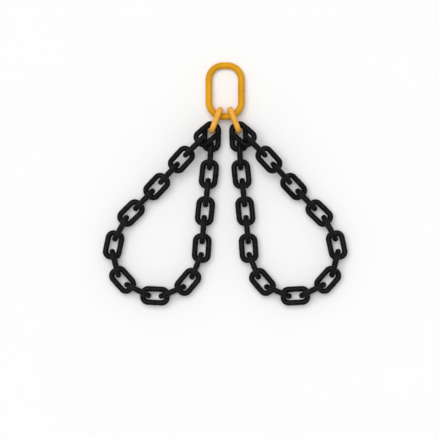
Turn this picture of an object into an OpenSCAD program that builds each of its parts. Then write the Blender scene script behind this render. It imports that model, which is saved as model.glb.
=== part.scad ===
// Two-loop chain sling, laid flat. One oblong master link holds two
// connecting links, and each connecting link holds both ends of an endless
// strand of round-bar chain. The floor is z = 0 and the master link points to +Y.

/* [Chain] */
// Diameter of the round bar of a chain link
chain_wire = 45; // [40:1:48]
// Length of the opening inside a chain link
chain_inner_length = 150; // [146:1:170]
// Width of the opening inside a chain link
chain_inner_width = 64; // [62:1:72]
// Radius of the inner corners of a chain link
chain_inner_corner = 20; // [14:1:22]
// Height of the weld swell on one leg of a chain link
weld_height = 1.2; // [0.5:0.1:2]
// Length of the raised middle of the weld swell
weld_length = 12; // [6:1:20]
// Length of each tapered end of the weld swell
weld_taper = 10; // [5:1:16]

/* [Master link] */
// Diameter of the round bar of the master link
master_wire = 54; // [46:1:56]
// Length of the opening inside the master link
master_inner_length = 360; // [330:1:400]
// Width of the opening inside the master link
master_inner_width = 208; // [206:1:240]
// Radius of the inner corners of the master link
master_inner_corner = 88; // [80:1:100]
// Height left over the connecting links for the swing of their legs
master_lift = 4; // [3:0.5:8]

/* [Connecting links] */
// Diameter of the round bar of a connecting link
connector_wire = 45; // [40:1:46]
// Length of the opening inside a connecting link
connector_inner_length = 138; // [136:1:160]
// Width of the opening inside a connecting link
connector_inner_width = 98; // [97:1:110]
// Radius of the inner corners of a connecting link
connector_inner_corner = 22; // [14:1:24]
// Angle of each connecting link from the middle line of the sling
connector_angle = 22; // [18:0.5:24]

/* [Fit] */
// Gap between two links where one seats on the other
seat_gap = 0.3; // [0.2:0.05:0.5]
// Extra play at the bottom of each loop, where the two halves of a strand meet
bottom_play = 1.5; // [1:0.5:4]

/* [Hidden] */
// Row of flat links in one strand, from the connecting link round the loop and
// back to it: the way each one points in the plan, in degrees
FLAT_HEADINGS = [-140, -133, -134, -136, -102, -48, -2, 50, 86, 84, 84, 88];
// Heights of the near and far ends of the flat links that climb over the other
// end of the strand, in bar thicknesses above a link that lies low
CLIMB = [[1, 2.4], [1.95, 1.2], [0.9, 0]];
// Share of the free play in an opening that holds each bar up or down at the
// two ends of the upright links that slope
SLOPE_PLAY = [[0.5, 0], [0, 0]];

// Names of the nodes
function two_digits(n) = n < 10 ? str("0", n) : str(n);
LINK_COUNT = 2 * len(FLAT_HEADINGS) - 1;
BOTTOM_LINK = 12;
LEFT_LINKS = [for (n = [1:LINK_COUNT]) str("left_link_", two_digits(n))];
RIGHT_LINKS = [for (n = [1:LINK_COUNT]) str("right_link_", two_digits(n))];

CHAIN_BLACK = [0.07, 0.07, 0.08];
MASTER_GOLD = [0.93, 0.66, 0.13];
CONNECTOR_AMBER = [0.95, 0.68, 0.27];
$fn = 48;

// Chain link: middle of the bar at a crown, place of a neighbour's bar inside
// it, half of its outer width, and free play of a bar across the opening
crown = (chain_inner_length + chain_wire) / 2;
bar_step = chain_wire + seat_gap;
inner_bar = crown - bar_step;
half_width = chain_inner_width / 2 + chain_wire;
outer_corner = chain_inner_corner + chain_wire;
play = (chain_inner_width - chain_wire) / 2 - seat_gap;

// Height of the middle of a flat link that lies on the lower legs of its neighbours
low_level = max(chain_wire, connector_wire) + seat_gap + chain_wire / 2;

function is_flat(k) = k % 2 == 0;
function climb(i) = i < len(CLIMB) ? CLIMB[i] : [0, 0];
function level(i, end) = low_level + bar_step * climb(i)[end];
function slopes(j) = j < len(SLOPE_PLAY);

// Downward slope of a flat link, from the heights of its two crowns
function flat_slope(i) = asin((level(i, 0) - level(i, 1)) / (2 * crown));

// Downward slope of an upright link, from the bars at its two ends
function held(j) = slopes(j) ? play * SLOPE_PLAY[j] : [0, 0];
function upright_slope(j) =
    let (drop = level(j, 1) - level(j + 1, 0), across = held(j)[0] - held(j)[1])
    slopes(j) ? asin(drop / norm([2 * inner_bar, across])) - atan2(across, 2 * inner_bar) : 0;
function upright_height(j) =
    let (a = upright_slope(j))
    slopes(j) ? level(j, 1) - inner_bar * sin(a) - held(j)[0] * cos(a) : half_width;

// Pivot of an upright link: where its crown passes the height of the bar on it
function pivot_across(j, end) =
    let (tilt = bar_step * tan(upright_slope(j)))
    held(j)[end] + (end == 0 ? -tilt : tilt);
function slope_of(k) = is_flat(k) ? flat_slope(k / 2) : upright_slope((k - 1) / 2);

// Distance in the plan from a pivot to the crown of the flat link that hangs on it
connector_step = (chain_wire + connector_wire) / 2 + seat_gap;
function reach(k) = k < 0 || k >= LINK_COUNT ? connector_step : bar_step / cos(slope_of(k));

// Length in the plan from pivot to pivot, and from the first pivot to the centre
function flat_length(k) =
    2 * crown * cos(slope_of(k)) - reach(k - 1) - reach(k + 1) - (k == BOTTOM_LINK ? bottom_play : 0);
function upright_length(k) =
    let (j = (k - 1) / 2, a = slope_of(k))
    2 * crown * cos(a) + (pivot_across(j, 1) - pivot_across(j, 0)) * sin(a);
function link_length(k) = is_flat(k) ? flat_length(k) : upright_length(k);
function to_centre(k) = is_flat(k)
    ? crown * cos(slope_of(k)) - reach(k - 1)
    : crown * cos(slope_of(k)) - pivot_across((k - 1) / 2, 0) * sin(slope_of(k));
LENGTHS = [for (k = [0:LINK_COUNT - 1]) link_length(k)];

// Upright links first point midway between their neighbours. Then every link is
// turned by the smallest amounts that bring the strand back to its start.
FIRST_HEADINGS = [for (k = [0:LINK_COUNT - 1]) is_flat(k)
    ? FLAT_HEADINGS[k / 2]
    : (FLAT_HEADINGS[(k - 1) / 2] + FLAT_HEADINGS[(k + 1) / 2]) / 2];
function closed(h, rounds) = rounds == 0 ? h :
    let (
        c = [for (k = [0:LINK_COUNT - 1]) LENGTHS[k] * cos(h[k])],
        s = [for (k = [0:LINK_COUNT - 1]) LENGTHS[k] * sin(h[k])],
        ones = [for (k = h) 1],
        miss_x = c * ones,
        miss_y = s * ones,
        det = (s * s) * (c * c) - (s * c) * (s * c),
        turn_x = ((c * c) * miss_x + (s * c) * miss_y) / det,
        turn_y = ((s * c) * miss_x + (s * s) * miss_y) / det
    )
    closed([for (k = [0:LINK_COUNT - 1]) h[k] + (s[k] * turn_x - c[k] * turn_y) * 180 / PI], rounds - 1);
HEADINGS = closed(FIRST_HEADINGS, 6);

// Master link: it slopes from the connecting links down to the floor at its far end
master_crown = (master_inner_length + master_wire) / 2;
master_near_height = connector_wire + master_wire / 2 + seat_gap + master_lift;
master_slope = asin((master_near_height - master_wire / 2) / (2 * master_crown));
master_bend = (master_inner_corner + master_wire / 2) * cos(master_slope);

// Connecting link: it seats in the near bend of the master link
connector_crown = (connector_inner_length + connector_wire) / 2;
connector_half_width = connector_inner_width / 2 + connector_wire;
pivot_radius = master_bend - (master_wire + connector_wire) / 2 - seat_gap;
bend_centre = [master_inner_corner - master_inner_width / 2, master_bend];
down_leg = [-sin(connector_angle), -cos(connector_angle)];
top_pivot = bend_centre + pivot_radius * down_leg;
strand_start = top_pivot + 2 * connector_crown * down_leg;

// Plan of one strand, measured from the near crown of the master link
function along(k) = [cos(HEADINGS[k]), sin(HEADINGS[k])];
PIVOTS = [for (k = 0, p = strand_start; k <= LINK_COUNT;
    p = k < LINK_COUNT ? p + LENGTHS[k] * along(k) : p, k = k + 1) p];
CENTRES = [for (k = [0:LINK_COUNT - 1]) PIVOTS[k] + to_centre(k) * along(k)];

// Lowest point of each link in the plan, so that the origin is in the middle
function half_depth(k) = is_flat(k)
    ? (crown + chain_wire / 2 - outer_corner) * abs(sin(HEADINGS[k]))
        + (half_width - outer_corner) * abs(cos(HEADINGS[k])) + outer_corner
    : crown * abs(sin(HEADINGS[k])) + chain_wire / 2;
plan_bottom = min([for (k = [0:LINK_COUNT - 1]) CENTRES[k].y - half_depth(k)]);
plan_top = 2 * master_crown * cos(master_slope) + master_wire / 2;
middle = -(plan_bottom + plan_top) / 2;

// One closed link of round bar, lying in the XY plane with its length along X
module bar_link(wire, inner_length, inner_width, inner_corner) {
    bend = inner_corner + wire / 2;
    leg = inner_length / 2 - inner_corner;
    head = inner_width / 2 - inner_corner;
    for (turn = [0, 180]) rotate([0, 0, turn]) {
        translate([-leg, -head - bend, 0]) rotate([0, 90, 0]) cylinder(h = 2 * leg, d = wire);
        translate([leg + bend, head, 0]) rotate([90, 0, 0]) cylinder(h = 2 * head, d = wire);
        translate([leg, head, 0]) rotate_extrude(angle = 90) translate([bend, 0]) circle(d = wire);
        translate([leg, -head, 0]) rotate([0, 0, -90])
            rotate_extrude(angle = 90) translate([bend, 0]) circle(d = wire);
    }
}

// Swell that the butt weld leaves in the middle of one leg
module weld_swell(wire, inner_width) {
    translate([0, -(inner_width + wire) / 2, 0]) rotate([0, 90, 0]) {
        cylinder(h = weld_length, d = wire + 2 * weld_height, center = true);
        for (end = [0, 180]) rotate([0, end, 0]) translate([0, 0, weld_length / 2])
            cylinder(h = weld_taper, d1 = wire + 2 * weld_height, d2 = wire);
    }
}

module welded_link(wire, inner_length, inner_width, inner_corner) {
    bar_link(wire, inner_length, inner_width, inner_corner);
    weld_swell(wire, inner_width);
}

module master_link() {
    color(MASTER_GOLD)
        translate([0, middle + master_crown * cos(master_slope), (master_near_height + master_wire / 2) / 2])
            rotate([0, master_slope, 90])
                welded_link(master_wire, master_inner_length, master_inner_width, master_inner_corner);
}

module left_connecting_link() {
    color(CONNECTOR_AMBER)
        translate([0, middle, 0]) translate((top_pivot + strand_start) / 2)
            translate([0, 0, connector_half_width]) rotate([-90, 0, -90 - connector_angle])
                welded_link(connector_wire, connector_inner_length, connector_inner_width, connector_inner_corner);
}

module right_connecting_link() {
    mirror([1, 0, 0]) left_connecting_link();
}

// Links with an even number here lie flat, and those between them stand upright
module chain_link(k) {
    height = is_flat(k) ? (level(k / 2, 0) + level(k / 2, 1)) / 2 : upright_height((k - 1) / 2);
    color(CHAIN_BLACK)
        translate([CENTRES[k].x, CENTRES[k].y + middle, height])
            rotate([0, slope_of(k), HEADINGS[k]]) rotate([is_flat(k) ? 0 : -90, 0, 0])
                welded_link(chain_wire, chain_inner_length, chain_inner_width, chain_inner_corner);
}

module left_link(k) {
    chain_link(k);
}

module right_link(k) {
    mirror([1, 0, 0]) chain_link(k);
}

master_link();
left_connecting_link();
right_connecting_link();
for (k = [0:LINK_COUNT - 1]) {
    left_link(k);
    right_link(k);
}
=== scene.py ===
"""Looks of a two-loop chain sling that lies flat on a pale studio floor.

Every link is modelled once from a round bar section, then copied to the places of the
solid links. Lengths are in metres, and the floor is the plane z = 0.
"""
import math

import bpy
import numpy as np
from mathutils import Matrix, Vector


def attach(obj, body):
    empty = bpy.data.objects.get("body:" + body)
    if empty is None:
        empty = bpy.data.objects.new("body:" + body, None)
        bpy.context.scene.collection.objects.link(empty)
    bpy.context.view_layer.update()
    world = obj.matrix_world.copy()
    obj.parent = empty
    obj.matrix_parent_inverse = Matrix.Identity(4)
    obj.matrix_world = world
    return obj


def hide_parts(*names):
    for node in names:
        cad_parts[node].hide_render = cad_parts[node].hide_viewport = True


bl_info = {
    "name": "Chain Sling",
    "version": (1, 0, 0),
    "blender": (4, 5, 0),
    "location": "View3D > Sidebar > Chain Sling",
    "description": "Models the links, paint and studio of a two-loop chain sling",
    "category": "Add Mesh",
}

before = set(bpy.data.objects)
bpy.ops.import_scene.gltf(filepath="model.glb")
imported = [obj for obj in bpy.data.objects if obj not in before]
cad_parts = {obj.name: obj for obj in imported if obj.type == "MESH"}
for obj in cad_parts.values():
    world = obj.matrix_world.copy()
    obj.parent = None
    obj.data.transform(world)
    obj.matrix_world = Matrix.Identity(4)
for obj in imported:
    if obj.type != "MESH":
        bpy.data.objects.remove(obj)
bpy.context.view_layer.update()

SIDES = ("left", "right")
LINKS_PER_SIDE = sum(name.startswith("left_link_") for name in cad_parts)

# Picture: metres of the object in one pixel, and where its middle line and its top and
# bottom stand in the photograph
FRAME_PIXELS = 438
METRES_PER_PIXEL = 0.00808
MIDDLE_LINE_X = 225.15
OBJECT_TOP_Y = 62.3
OBJECT_BOTTOM_Y = 305.6
SENSOR_MILLIMETRES = 36

# Studio, in metres and degrees. The floor's darker patches have this share of its colour
FLOOR_SIZE = 160
FLOOR_DARKER = 0.985
FLOOR_ROUGHNESS = 0.85
FLOOR_SPECULAR = 0.15
FLOOR_MOTTLE_SCALE = 1.6
BACKDROP_HEIGHT = 60
BACKDROP_INSET = 1
BACKDROP_SIDES = 96
BACKDROP_LOW_COLOUR = (0.985, 0.985, 0.98)
BACKDROP_HIGH_COLOUR = (0.90, 0.90, 0.90)
LIGHT_DIRECTION = (0.16, -0.2, -1)
LIGHT_SPREAD = 50
LIGHT_DISTANCE = 6
VIEW_DEPTH = 400

# Modelling detail
SECTION_POINTS = 40
BEND_STEPS = 14
CROWN_STEPS = 4
LEG_STEPS = 4
MERGE_AT_MIRROR = 1e-5
MERGE_DOUBLES = 1e-6

# Outline of half a weld: share of its half length, share of its height
WELD_OUTLINE = ((0.0, 0.86), (0.1, 1.0), (0.32, 0.98), (0.42, 0.8), (0.7, 0.28), (1.0, 0.0))

# Where a link is rubbed and welded. The rub's reach and band are shares of the bar's
# diameter, and the weld's reach and search are shares of the weld's length
RUB_REACH = 0.42
OUTER_BAND = 0.1
OUTER_RUB = 0.55
WELD_REACH = 0.3
WELD_SEARCH = 0.6

# Surface detail that all coats share. Scales count along one metre
GRAIN_SCALE = 95.0
WELD_RIPPLE_SCALE = 170.0
WELD_GRAIN_SCALE = 240.0
PATCH_LOW, PATCH_HIGH = 0.38, 0.66
GRAIN_LOW, GRAIN_HIGH = 0.3, 0.7
SMOOTHER_BY, ROUGHER_BY = 0.07, 0.09
PEEL_SHARE = 0.35
WEAR_START = 0.86
WELD_RELIEF = 2.5
BUMP_STRENGTH = 0.8
CLEAR_COAT_ROUGHNESS = 0.22


class LinkSizes(bpy.types.PropertyGroup):
    """Sizes of one kind of welded round-bar link."""

    bar: bpy.props.FloatProperty(
        name="Bar", description="Diameter of the round bar", default=0.045, min=0.02,
        subtype="DISTANCE", unit="LENGTH")
    opening_length: bpy.props.FloatProperty(
        name="Opening length", description="Length of the opening", default=0.15, min=0.05,
        subtype="DISTANCE", unit="LENGTH")
    opening_width: bpy.props.FloatProperty(
        name="Opening width", description="Width of the opening", default=0.064, min=0.03,
        subtype="DISTANCE", unit="LENGTH")
    inner_corner: bpy.props.FloatProperty(
        name="Inner corner", description="Radius of the opening's corners", default=0.02, min=0.005,
        subtype="DISTANCE", unit="LENGTH")
    weld_height: bpy.props.FloatProperty(
        name="Weld height", description="How far the weld swells out of the bar", default=0.0012, min=0.0,
        subtype="DISTANCE", unit="LENGTH")
    weld_width: bpy.props.FloatProperty(
        name="Weld width", description="Length of the swell along the bar", default=0.032, min=0.01,
        subtype="DISTANCE", unit="LENGTH")


class PaintFinish(bpy.types.PropertyGroup):
    """Colours and surface of one paint or coating."""

    colour: bpy.props.FloatVectorProperty(
        name="Colour", description="Main colour of the coat", size=3, default=(0.5, 0.5, 0.5), min=0, max=1,
        subtype="COLOR")
    shade: bpy.props.FloatVectorProperty(
        name="Shade", description="Colour of the thinner and dirtier patches", size=3,
        default=(0.4, 0.4, 0.4), min=0, max=1, subtype="COLOR")
    worn: bpy.props.FloatVectorProperty(
        name="Worn", description="Colour where links rub on each other", size=3, default=(0.2, 0.2, 0.2),
        min=0, max=1, subtype="COLOR")
    roughness: bpy.props.FloatProperty(
        name="Roughness", description="Roughness of the coat", default=0.45, min=0, max=1, subtype="FACTOR")
    rub: bpy.props.FloatProperty(
        name="Rub", description="How much of the contact spots is worn", default=0.5, min=0, max=1,
        subtype="FACTOR")
    patch_scale: bpy.props.FloatProperty(
        name="Patch scale", description="Patches of tone along one metre", default=7.0, min=0.1)
    peel_scale: bpy.props.FloatProperty(
        name="Peel scale", description="Bumps of the orange peel along one metre", default=420.0, min=1)
    chip_scale: bpy.props.FloatProperty(
        name="Chip scale", description="Chips of the coat along one metre where links rub", default=60.0,
        min=1)
    peel_depth: bpy.props.FloatProperty(
        name="Peel depth", description="Depth of the orange peel", default=0.0005, min=0, precision=5,
        subtype="DISTANCE", unit="LENGTH")
    specular: bpy.props.FloatProperty(
        name="Specular", description="Strength of the mirror-like shine", default=0.15, min=0, max=1,
        subtype="FACTOR")
    clear_coat: bpy.props.FloatProperty(
        name="Clear coat", description="Share of a clear coat on the paint", default=0.03, min=0, max=1,
        subtype="FACTOR")


class StudioSettings(bpy.types.PropertyGroup):
    """Floor, lights and camera of the studio."""

    floor_colour: bpy.props.FloatVectorProperty(
        name="Floor", description="Colour of the floor", size=3, default=(0.88, 0.88, 0.878), min=0, max=1,
        subtype="COLOR")
    ambient: bpy.props.FloatProperty(
        name="Ambient", description="Strength of the even light from all round", default=0.5, min=0)
    key_strength: bpy.props.FloatProperty(
        name="Key light", description="Strength of the wide soft light from above", default=2.05, min=0)
    lens: bpy.props.FloatProperty(
        name="Lens", description="Focal length of the camera in millimetres", default=300.0, min=20,
        subtype="DISTANCE_CAMERA", unit="CAMERA")


class SlingSettings(bpy.types.PropertyGroup):
    """All sizes and finishes of the sling."""

    chain: bpy.props.PointerProperty(
        type=LinkSizes, name="Chain link", description="Sizes of the links of both strands")
    master: bpy.props.PointerProperty(
        type=LinkSizes, name="Master link", description="Sizes of the oblong link at the top")
    connecting: bpy.props.PointerProperty(
        type=LinkSizes, name="Connecting link", description="Sizes of the links that carry the strands")
    chain_finish: bpy.props.PointerProperty(
        type=PaintFinish, name="Chain finish", description="Black coat of the chain links")
    master_finish: bpy.props.PointerProperty(
        type=PaintFinish, name="Master link finish", description="Golden amber paint of the master link")
    connecting_finish: bpy.props.PointerProperty(
        type=PaintFinish, name="Connecting link finish",
        description="Light amber paint of the connecting links")
    studio: bpy.props.PointerProperty(
        type=StudioSettings, name="Studio", description="Floor, lights and camera")


def set_values(group, **values):
    for name, value in values.items():
        setattr(group, name, value)


def fill_in(settings):
    """Sets the sizes and finishes that differ from the defaults of their groups."""
    set_values(
        settings.master, bar=0.054, opening_length=0.36, opening_width=0.208, inner_corner=0.088)
    set_values(
        settings.connecting, opening_length=0.138, opening_width=0.098, inner_corner=0.022)
    set_values(
        settings.chain_finish, colour=(0.003, 0.003, 0.0034), shade=(0.007, 0.0067, 0.0064),
        worn=(0.06, 0.058, 0.055), roughness=0.42, rub=0.5, patch_scale=11.0, peel_scale=360.0,
        chip_scale=75.0, peel_depth=0.0009, specular=0.09, clear_coat=0.0)
    set_values(
        settings.master_finish, colour=(0.70, 0.325, 0.002), shade=(0.60, 0.27, 0.003),
        worn=(0.16, 0.13, 0.11), roughness=0.42, rub=0.45, patch_scale=7.0, peel_scale=420.0,
        chip_scale=60.0, peel_depth=0.0005, specular=0.13, clear_coat=0.03)
    set_values(
        settings.connecting_finish, colour=(0.84, 0.41, 0.055), shade=(0.74, 0.34, 0.045),
        worn=(0.18, 0.15, 0.12), roughness=0.44, rub=0.45, patch_scale=9.0, peel_scale=460.0,
        chip_scale=70.0, peel_depth=0.0005, specular=0.15, clear_coat=0.03)


# Shader node helpers

def new_node(tree, kind, **values):
    """Adds a node and sets its properties, and its inputs where a key names one."""
    node = tree.nodes.new(kind)
    for key, value in values.items():
        if key in node.inputs:
            node.inputs[key].default_value = value
        else:
            setattr(node, key, value)
    return node


def connect(tree, source, target):
    tree.links.new(target, source)


def new_group(name, inputs, outputs):
    """A shader node group with named sockets, and its input and output nodes."""
    group = bpy.data.node_groups.new(name, "ShaderNodeTree")
    for label, kind, default in inputs:
        socket = group.interface.new_socket(name=label, in_out="INPUT", socket_type=kind)
        if default is not None:
            socket.default_value = default
    for label, kind in outputs:
        group.interface.new_socket(name=label, in_out="OUTPUT", socket_type=kind)
    return group, group.nodes.new("NodeGroupInput"), group.nodes.new("NodeGroupOutput")


def coat_texture_group():
    """Broad patches of tone and a fine orange-peel height, for any paint."""
    group, given, made = new_group(
        "Coat Texture",
        [("Vector", "NodeSocketVector", None), ("Patch Scale", "NodeSocketFloat", 7.0),
         ("Peel Scale", "NodeSocketFloat", 420.0)],
        [("Patches", "NodeSocketFloat"), ("Grain", "NodeSocketFloat"), ("Height", "NodeSocketFloat")])
    patches = new_node(group, "ShaderNodeTexNoise", Detail=5.0, Roughness=0.6)
    peel = new_node(group, "ShaderNodeTexNoise", Detail=2.0, Roughness=0.5)
    grain = new_node(group, "ShaderNodeTexNoise", Scale=GRAIN_SCALE, Detail=4.0, Roughness=0.65)
    contrast = new_node(group, "ShaderNodeMapRange")
    contrast.inputs["From Min"].default_value = PATCH_LOW
    contrast.inputs["From Max"].default_value = PATCH_HIGH
    add = new_node(group, "ShaderNodeMath", operation="MULTIPLY_ADD")
    add.inputs[1].default_value = PEEL_SHARE
    connect(group, given.outputs["Vector"], patches.inputs["Vector"])
    connect(group, given.outputs["Vector"], peel.inputs["Vector"])
    connect(group, given.outputs["Vector"], grain.inputs["Vector"])
    connect(group, given.outputs["Patch Scale"], patches.inputs["Scale"])
    connect(group, given.outputs["Peel Scale"], peel.inputs["Scale"])
    connect(group, patches.outputs["Fac"], contrast.inputs["Value"])
    connect(group, peel.outputs["Fac"], add.inputs[0])
    connect(group, grain.outputs["Fac"], add.inputs[2])
    connect(group, contrast.outputs["Result"], made.inputs["Patches"])
    connect(group, grain.outputs["Fac"], made.inputs["Grain"])
    connect(group, add.outputs["Value"], made.inputs["Height"])
    return group


def contact_wear_group():
    """Mask of the worn metal from the rub on the surface, broken up by noise."""
    group, given, made = new_group(
        "Contact Wear",
        [("Vector", "NodeSocketVector", None), ("Rub", "NodeSocketFloat", 0.0),
         ("Amount", "NodeSocketFloat", 0.5), ("Chip Scale", "NodeSocketFloat", 60.0)],
        [("Mask", "NodeSocketFloat")])
    chips = new_node(group, "ShaderNodeTexNoise", Detail=6.0, Roughness=0.7)
    spread = new_node(group, "ShaderNodeMath", operation="MULTIPLY")
    sum_up = new_node(group, "ShaderNodeMath", operation="ADD")
    edge = new_node(group, "ShaderNodeMapRange")
    edge.inputs["From Min"].default_value = WEAR_START
    edge.inputs["From Max"].default_value = 1.0
    connect(group, given.outputs["Vector"], chips.inputs["Vector"])
    connect(group, given.outputs["Chip Scale"], chips.inputs["Scale"])
    connect(group, given.outputs["Rub"], spread.inputs[0])
    connect(group, given.outputs["Amount"], spread.inputs[1])
    connect(group, spread.outputs["Value"], sum_up.inputs[0])
    connect(group, chips.outputs["Fac"], sum_up.inputs[1])
    connect(group, sum_up.outputs["Value"], edge.inputs["Value"])
    connect(group, edge.outputs["Result"], made.inputs["Mask"])
    return group


def weld_skin_group():
    """Height of the rough skin that a weld leaves, where the surface is marked as weld."""
    group, given, made = new_group(
        "Weld Skin",
        [("Vector", "NodeSocketVector", None), ("Weld", "NodeSocketFloat", 0.0)],
        [("Height", "NodeSocketFloat")])
    ripple = new_node(group, "ShaderNodeTexVoronoi", Scale=WELD_RIPPLE_SCALE)
    rough = new_node(group, "ShaderNodeTexNoise", Scale=WELD_GRAIN_SCALE, Detail=3.0)
    both = new_node(group, "ShaderNodeMath", operation="ADD")
    masked = new_node(group, "ShaderNodeMath", operation="MULTIPLY")
    connect(group, given.outputs["Vector"], ripple.inputs["Vector"])
    connect(group, given.outputs["Vector"], rough.inputs["Vector"])
    connect(group, ripple.outputs["Distance"], both.inputs[0])
    connect(group, rough.outputs["Fac"], both.inputs[1])
    connect(group, both.outputs["Value"], masked.inputs[0])
    connect(group, given.outputs["Weld"], masked.inputs[1])
    connect(group, masked.outputs["Value"], made.inputs["Height"])
    return group


def shared_group(name, build):
    return bpy.data.node_groups.get(name) or build()


def place_group(tree, group):
    node = tree.nodes.new("ShaderNodeGroup")
    node.node_tree = group
    return node


def coated_steel(name, finish):
    """Painted steel with patchy tone, fine peel, weld skin and worn contact spots."""
    material = bpy.data.materials.new(name)
    material.use_nodes = True
    tree = material.node_tree
    shader = tree.nodes["Principled BSDF"]
    shader.inputs["Specular IOR Level"].default_value = finish.specular
    shader.inputs["Coat Weight"].default_value = finish.clear_coat
    shader.inputs["Coat Roughness"].default_value = CLEAR_COAT_ROUGHNESS
    place = new_node(tree, "ShaderNodeTexCoord")
    rub = new_node(tree, "ShaderNodeAttribute", attribute_name="rub")
    weld = new_node(tree, "ShaderNodeAttribute", attribute_name="weld")
    texture = place_group(tree, shared_group("Coat Texture", coat_texture_group))
    wear = place_group(tree, shared_group("Contact Wear", contact_wear_group))
    skin = place_group(tree, shared_group("Weld Skin", weld_skin_group))
    for node in (texture, wear, skin):
        connect(tree, place.outputs["Object"], node.inputs["Vector"])
    texture.inputs["Patch Scale"].default_value = finish.patch_scale
    texture.inputs["Peel Scale"].default_value = finish.peel_scale
    wear.inputs["Amount"].default_value = finish.rub
    wear.inputs["Chip Scale"].default_value = finish.chip_scale
    connect(tree, rub.outputs["Fac"], wear.inputs["Rub"])
    connect(tree, weld.outputs["Fac"], skin.inputs["Weld"])

    tone = new_node(tree, "ShaderNodeMix", data_type="RGBA")
    tone.inputs["A"].default_value = (*finish.colour, 1)
    tone.inputs["B"].default_value = (*finish.shade, 1)
    connect(tree, texture.outputs["Patches"], tone.inputs["Factor"])
    bare = new_node(tree, "ShaderNodeMix", data_type="RGBA")
    bare.inputs["B"].default_value = (*finish.worn, 1)
    connect(tree, wear.outputs["Mask"], bare.inputs["Factor"])
    connect(tree, tone.outputs["Result"], bare.inputs["A"])
    connect(tree, bare.outputs["Result"], shader.inputs["Base Color"])

    gloss = new_node(tree, "ShaderNodeMapRange")
    gloss.inputs["From Min"].default_value = GRAIN_LOW
    gloss.inputs["From Max"].default_value = GRAIN_HIGH
    gloss.inputs["To Min"].default_value = finish.roughness - SMOOTHER_BY
    gloss.inputs["To Max"].default_value = finish.roughness + ROUGHER_BY
    connect(tree, texture.outputs["Grain"], gloss.inputs["Value"])
    connect(tree, gloss.outputs["Result"], shader.inputs["Roughness"])
    connect(tree, wear.outputs["Mask"], shader.inputs["Metallic"])

    relief = new_node(tree, "ShaderNodeMath", operation="MULTIPLY_ADD")
    relief.inputs[1].default_value = WELD_RELIEF
    connect(tree, skin.outputs["Height"], relief.inputs[0])
    connect(tree, texture.outputs["Height"], relief.inputs[2])
    bump = new_node(tree, "ShaderNodeBump", Strength=BUMP_STRENGTH, Distance=finish.peel_depth)
    connect(tree, relief.outputs["Value"], bump.inputs["Height"])
    connect(tree, bump.outputs["Normal"], shader.inputs["Normal"])
    return material


# Modelling of a link

def start_clean():
    """Object mode with nothing selected."""
    if bpy.context.object and bpy.context.object.mode != "OBJECT":
        bpy.ops.object.mode_set(mode="OBJECT")
    bpy.ops.object.select_all(action="DESELECT")


def selected_centre(mesh_object):
    """Middle of the selected points, read from the mesh in edit mode."""
    mesh_object.update_from_editmode()
    points = [v.co for v in mesh_object.data.vertices if v.select]
    return sum(points, Vector()) / len(points)


def extrude(offset):
    bpy.ops.mesh.extrude_region_move(TRANSFORM_OT_translate={"value": offset})


def weld_profile(sizes):
    """Steps along the bar from the middle of the weld: (distance, swell)."""
    half = sizes.weld_width / 2
    return [(half * share, sizes.weld_height * rise) for share, rise in WELD_OUTLINE]


def model_link(name, sizes):
    """Models one closed link about the origin, with its length along X and its weld on the leg at -Y."""
    start_clean()
    radius = sizes.bar / 2
    bend = sizes.inner_corner + radius
    leg = sizes.opening_length / 2 - sizes.inner_corner
    head = sizes.opening_width / 2 - sizes.inner_corner
    profile = weld_profile(sizes)
    bpy.ops.mesh.primitive_circle_add(
        vertices=SECTION_POINTS, radius=radius, location=(0, -head - bend, 0), rotation=(0, math.pi / 2, 0))
    link = bpy.context.object
    link.name = name
    bpy.ops.object.transform_apply(location=True, rotation=True, scale=True)
    bpy.ops.object.mode_set(mode="EDIT")
    bpy.ops.mesh.select_all(action="SELECT")

    # Leg with the weld, from its middle outwards
    def swell_to(new_radius, old_radius):
        scale = new_radius / old_radius
        bpy.ops.transform.resize(value=(1, scale, scale), center_override=selected_centre(link))

    swell_to(radius + profile[0][1], radius)
    for (start, low), (end, high) in zip(profile, profile[1:]):
        extrude((end - start, 0, 0))
        swell_to(radius + high, radius + low)
    for _ in range(LEG_STEPS):
        extrude(((leg - profile[-1][0]) / LEG_STEPS, 0, 0))

    # Crown between its two bends, then the plain leg back to the middle
    bpy.ops.mesh.spin(steps=BEND_STEPS, angle=math.pi / 2, center=(leg, -head, 0), axis=(0, 0, -1))
    if selected_centre(link).x < leg:
        raise RuntimeError(f"{name}: the first bend turned the wrong way")
    for _ in range(CROWN_STEPS):
        extrude((0, 2 * head / CROWN_STEPS, 0))
    bpy.ops.mesh.spin(steps=BEND_STEPS, angle=math.pi / 2, center=(leg, head, 0), axis=(0, 0, -1))
    for _ in range(LEG_STEPS + 1):
        extrude((-leg / (LEG_STEPS + 1), 0, 0))
    bpy.ops.object.mode_set(mode="OBJECT")

    mirror = link.modifiers.new("Other half", "MIRROR")
    mirror.use_axis = (True, False, False)
    mirror.use_mirror_merge = True
    mirror.merge_threshold = MERGE_AT_MIRROR
    bpy.ops.object.modifier_apply(modifier=mirror.name)
    bpy.ops.object.mode_set(mode="EDIT")
    bpy.ops.mesh.select_all(action="SELECT")
    bpy.ops.mesh.remove_doubles(threshold=MERGE_DOUBLES)
    bpy.ops.mesh.normals_make_consistent(inside=False)
    bpy.ops.object.mode_set(mode="OBJECT")
    bpy.ops.object.shade_smooth()
    mark_wear(link, sizes)
    return link


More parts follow.
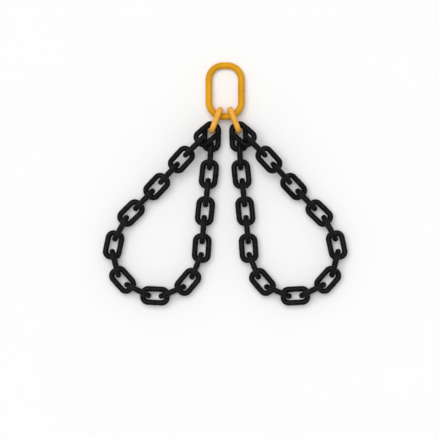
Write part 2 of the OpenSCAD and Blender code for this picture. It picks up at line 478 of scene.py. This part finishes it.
def mark_wear(link, sizes):
    """Stores how much each point is rubbed, and how much of it is weld."""
    mesh = link.data
    points = np.empty(len(mesh.vertices) * 3)
    mesh.vertices.foreach_get("co", points)
    points = points.reshape(-1, 3)
    half_length = sizes.opening_length / 2
    half_width = sizes.opening_width / 2 + sizes.bar
    rub = np.zeros(len(points))
    for end in (-1, 1):
        far = np.linalg.norm(points - [end * half_length, 0, 0], axis=1)
        rub = np.maximum(rub, np.exp(-(far / (RUB_REACH * sizes.bar)) ** 2))
    band = OUTER_BAND * sizes.bar
    outer = (np.abs(points[:, 1]) - half_width + band) / band
    rub = np.maximum(rub, OUTER_RUB * np.clip(outer, 0, 1))
    weld = np.exp(-(points[:, 0] / (WELD_REACH * sizes.weld_width)) ** 2) * (points[:, 1] < 0)
    for label, values in (("rub", rub), ("weld", weld)):
        mesh.attributes.new(label, "FLOAT", "POINT").data.foreach_set("value", values)


# Placing of a link on its solid

def solid_place(node, sizes):
    """Matrix that carries the modelled link on to the solid link of that name."""
    # Main directions of the solid's surface, each triangle counted by its area
    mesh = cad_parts[node].data
    points = np.array([v.co for v in mesh.vertices], float)
    corners = np.array([p.vertices for p in mesh.polygons])
    a, b, c = (points[corners[:, i]] for i in range(3))
    areas = np.linalg.norm(np.cross(b - a, c - a), axis=1)
    centres = (a + b + c) / 3
    middle = (centres * areas[:, None]).sum(0) / areas.sum()
    spread = (centres - middle).T @ ((centres - middle) * areas[:, None])
    axes = np.linalg.eigh(spread)[1].T
    length, width = axes[2], axes[1]

    # Middle of the length. Near it most points belong to the weld, so their mean lies on its side
    reach = points @ length
    middle = middle + length * ((reach.max() + reach.min()) / 2 - middle @ length)
    near_middle = np.abs(points @ length - middle @ length) < sizes.weld_width * WELD_SEARCH
    weld_side = np.sign(((points[near_middle] - middle) @ width).mean())
    width = -weld_side * width

    # Middle of the width without the weld's swell, and middle of the height
    across = points @ width
    middle = middle + width * ((across.max() + across.min() + sizes.weld_height) / 2 - middle @ width)
    up = np.cross(length, width)
    height = points @ up
    middle = middle + up * ((height.max() + height.min()) / 2 - middle @ up)
    place = Matrix.Identity(4)
    for column, axis in enumerate((length, width, up, middle)):
        for row in range(3):
            place[row][column] = axis[row]
    return place


def put_copy(pattern, piece_name, node, sizes, material):
    """Copies the pattern on to a solid, gives it its paint and makes it ride with the solid's body."""
    mesh = pattern.data.copy()
    mesh.name = piece_name
    mesh.transform(solid_place(node, sizes))
    piece = bpy.data.objects.new(piece_name, mesh)
    bpy.context.scene.collection.objects.link(piece)
    mesh.materials.clear()
    mesh.materials.append(material)
    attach(piece, node)
    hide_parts(node)


def drop_pattern(pattern):
    mesh = pattern.data
    bpy.data.objects.remove(pattern)
    bpy.data.meshes.remove(mesh)


class SLING_OT_master_link(bpy.types.Operator):
    """Model the oblong master link and paint it golden amber"""

    bl_idname = "sling.master_link"
    bl_label = "Master Link"

    def execute(self, context):
        settings = context.scene.sling
        paint = coated_steel("golden amber paint", settings.master_finish)
        pattern = model_link("master link pattern", settings.master)
        put_copy(pattern, "master_link_bar", "master_link", settings.master, paint)
        drop_pattern(pattern)
        return {"FINISHED"}


class SLING_OT_connecting_links(bpy.types.Operator):
    """Model the two connecting links and paint them light amber"""

    bl_idname = "sling.connecting_links"
    bl_label = "Connecting Links"

    def execute(self, context):
        settings = context.scene.sling
        paint = coated_steel("light amber paint", settings.connecting_finish)
        pattern = model_link("connecting link pattern", settings.connecting)
        for side in SIDES:
            node = f"{side}_connecting_link"
            put_copy(pattern, f"{node}_bar", node, settings.connecting, paint)
        drop_pattern(pattern)
        return {"FINISHED"}


class SLING_OT_chain_links(bpy.types.Operator):
    """Model one welded chain link and copy it along both strands"""

    bl_idname = "sling.chain_links"
    bl_label = "Chain Links"

    def execute(self, context):
        settings = context.scene.sling
        coat = coated_steel("black coated steel", settings.chain_finish)
        pattern = model_link("chain link pattern", settings.chain)
        for side in SIDES:
            for number in range(1, LINKS_PER_SIDE + 1):
                node = f"{side}_link_{number:02d}"
                put_copy(pattern, f"{node}_bar", node, settings.chain, coat)
        drop_pattern(pattern)
        return {"FINISHED"}


def floor_material(colour):
    """Pale matt floor with a trace of mottling."""
    material = bpy.data.materials.new("pale studio floor")
    material.use_nodes = True
    tree = material.node_tree
    shader = tree.nodes["Principled BSDF"]
    shader.inputs["Roughness"].default_value = FLOOR_ROUGHNESS
    shader.inputs["Specular IOR Level"].default_value = FLOOR_SPECULAR
    place = new_node(tree, "ShaderNodeTexCoord")
    mottle = new_node(tree, "ShaderNodeTexNoise", Scale=FLOOR_MOTTLE_SCALE, Detail=4.0)
    tone = new_node(tree, "ShaderNodeMix", data_type="RGBA")
    tone.inputs["A"].default_value = (*[FLOOR_DARKER * c for c in colour], 1)
    tone.inputs["B"].default_value = (*colour, 1)
    connect(tree, place.outputs["Object"], mottle.inputs["Vector"])
    connect(tree, mottle.outputs["Fac"], tone.inputs["Factor"])
    connect(tree, tone.outputs["Result"], shader.inputs["Base Color"])
    return material


def backdrop_material():
    """Even pale glow that fades a little with height, so that the horizon does not show."""
    material = bpy.data.materials.new("pale backdrop")
    material.use_nodes = True
    tree = material.node_tree
    tree.nodes.remove(tree.nodes["Principled BSDF"])
    place = new_node(tree, "ShaderNodeTexCoord")
    split = new_node(tree, "ShaderNodeSeparateXYZ")
    fade = new_node(tree, "ShaderNodeMapRange")
    fade.inputs["From Max"].default_value = BACKDROP_HEIGHT
    tone = new_node(tree, "ShaderNodeMix", data_type="RGBA")
    tone.inputs["A"].default_value = (*BACKDROP_LOW_COLOUR, 1)
    tone.inputs["B"].default_value = (*BACKDROP_HIGH_COLOUR, 1)
    glow = new_node(tree, "ShaderNodeEmission")
    connect(tree, place.outputs["Object"], split.inputs["Vector"])
    connect(tree, split.outputs["Z"], fade.inputs["Value"])
    connect(tree, fade.outputs["Result"], tone.inputs["Factor"])
    connect(tree, tone.outputs["Result"], glow.inputs["Color"])
    connect(tree, glow.outputs["Emission"], tree.nodes["Material Output"].inputs["Surface"])
    return material


def raise_wall():
    """A wide round wall that only the camera sees, so that it neither lights nor shades."""
    bpy.ops.mesh.primitive_cylinder_add(
        vertices=BACKDROP_SIDES, radius=FLOOR_SIZE / 2 - BACKDROP_INSET, depth=BACKDROP_HEIGHT,
        end_fill_type="NOTHING", location=(0, 0, BACKDROP_HEIGHT / 2))
    wall = bpy.context.object
    wall.name = "studio_backdrop"
    bpy.ops.object.transform_apply(location=True, rotation=True, scale=True)
    bpy.ops.object.shade_smooth()
    wall.data.materials.append(backdrop_material())
    for ray in ("diffuse", "glossy", "transmission", "volume_scatter", "shadow"):
        setattr(wall, f"visible_{ray}", False)


def soft_light(name, direction, spread, strength):
    """An even light that shines along a direction from a wide patch of the sky."""
    data = bpy.data.lights.new(name, "SUN")
    data.angle = math.radians(spread)
    data.energy = strength
    light = bpy.data.objects.new(name, data)
    light.location = -LIGHT_DISTANCE * Vector(direction).normalized()
    light.rotation_euler = Vector(direction).to_track_quat("-Z", "Y").to_euler()
    bpy.context.scene.collection.objects.link(light)


class SLING_OT_studio(bpy.types.Operator):
    """Lay the floor, hang the soft lights and set the camera straight above"""

    bl_idname = "sling.studio"
    bl_label = "Studio"

    def execute(self, context):
        studio = context.scene.sling.studio
        scene = context.scene
        start_clean()
        bpy.ops.mesh.primitive_plane_add(size=FLOOR_SIZE, location=(0, 0, 0))
        floor = context.object
        floor.name = "studio_floor"
        floor.data.materials.append(floor_material(studio.floor_colour))
        start_clean()
        raise_wall()

        world = bpy.data.worlds.new("soft studio")
        scene.world = world
        world.use_nodes = True
        sky = world.node_tree.nodes["Background"]
        sky.inputs["Color"].default_value = (1, 1, 1, 1)
        sky.inputs["Strength"].default_value = studio.ambient
        scene.view_settings.view_transform = "Standard"

        soft_light("key", LIGHT_DIRECTION, LIGHT_SPREAD, studio.key_strength)

        pixels_high = (OBJECT_BOTTOM_Y + OBJECT_TOP_Y) / 2 - FRAME_PIXELS / 2
        centre_x = (FRAME_PIXELS / 2 - MIDDLE_LINE_X) * METRES_PER_PIXEL
        centre_y = pixels_high * METRES_PER_PIXEL
        picture_width = FRAME_PIXELS * METRES_PER_PIXEL
        data = bpy.data.cameras.new("overhead camera")
        data.lens = studio.lens
        data.sensor_width = SENSOR_MILLIMETRES
        data.clip_end = VIEW_DEPTH
        camera = bpy.data.objects.new("overhead camera", data)
        camera.location = (centre_x, centre_y, picture_width * studio.lens / data.sensor_width)
        scene.collection.objects.link(camera)
        scene.camera = camera
        return {"FINISHED"}


SIZE_NAMES = ("bar", "opening_length", "opening_width", "inner_corner", "weld_height", "weld_width")
FINISH_NAMES = (
    "colour", "shade", "worn", "roughness", "rub", "patch_scale", "peel_scale", "chip_scale", "peel_depth",
    "specular", "clear_coat")
STUDIO_NAMES = ("floor_colour", "ambient", "key_strength", "lens")


class SLING_PT_panel(bpy.types.Panel):
    """Sidebar panel that lists the sizes, the finishes and the steps"""

    bl_idname = "SLING_PT_panel"
    bl_label = "Chain Sling"
    bl_space_type = "VIEW_3D"
    bl_region_type = "UI"
    bl_category = "Chain Sling"

    def draw(self, context):
        layout = self.layout
        for operator in OPERATORS:
            layout.operator(operator.bl_idname)
        settings = context.scene.sling
        for group in (settings.chain, settings.master, settings.connecting):
            box = layout.box()
            for name in SIZE_NAMES:
                box.prop(group, name)
        for group in (settings.chain_finish, settings.master_finish, settings.connecting_finish):
            box = layout.box()
            for name in FINISH_NAMES:
                box.prop(group, name)
        for name in STUDIO_NAMES:
            layout.prop(settings.studio, name)


OPERATORS = (SLING_OT_studio, SLING_OT_master_link, SLING_OT_connecting_links, SLING_OT_chain_links)
CLASSES = (LinkSizes, PaintFinish, StudioSettings, SlingSettings, *OPERATORS, SLING_PT_panel)


def register():
    for cls in CLASSES:
        bpy.utils.register_class(cls)
    bpy.types.Scene.sling = bpy.props.PointerProperty(type=SlingSettings)


def unregister():
    del bpy.types.Scene.sling
    for cls in reversed(CLASSES):
        bpy.utils.unregister_class(cls)


def main():
    register()
    fill_in(bpy.context.scene.sling)
    bpy.ops.sling.studio()
    bpy.ops.sling.master_link()
    bpy.ops.sling.connecting_links()
    bpy.ops.sling.chain_links()


if __name__ == "__main__":
    main()
